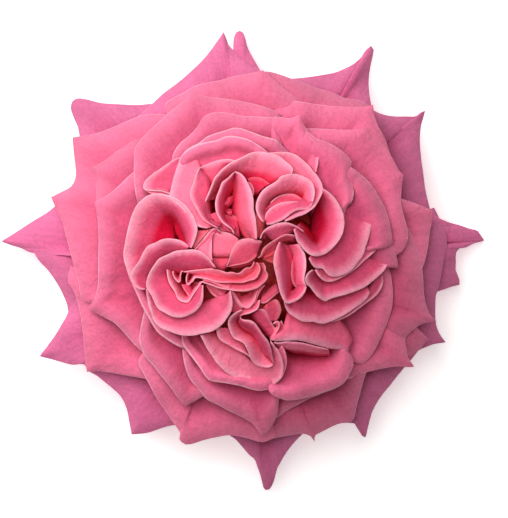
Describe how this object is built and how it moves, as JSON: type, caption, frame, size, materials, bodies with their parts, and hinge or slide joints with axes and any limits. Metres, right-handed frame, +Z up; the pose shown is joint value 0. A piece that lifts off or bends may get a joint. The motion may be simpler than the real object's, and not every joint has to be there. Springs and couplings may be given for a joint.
{
  "type": "rose",
  "caption": "Full-blown quartered garden rose, picked under its hip and resting face up, with pointed guard petals, layered capes and a folded heart.",
  "frame": {"origin": "on the surface that the bloom rests on, under the middle of its bounding box, 1 mm from the bloom's axis", "axes": "+Z up along the bloom's axis, +X to the picture's right, +Y to the picture's top"},
  "size_m": [0.1078, 0.102, 0.0424],
  "materials": {
    "guard_pink": "matte, velvety",
    "petal_pink": "matte, velvety",
    "calyx_green": "matte, waxy"
  },
  "bodies": {
    "root": {"guard_petals": "guard_pink", "petals": "petal_pink", "calyx": "calyx_green"}
  },
  "joints": []
}
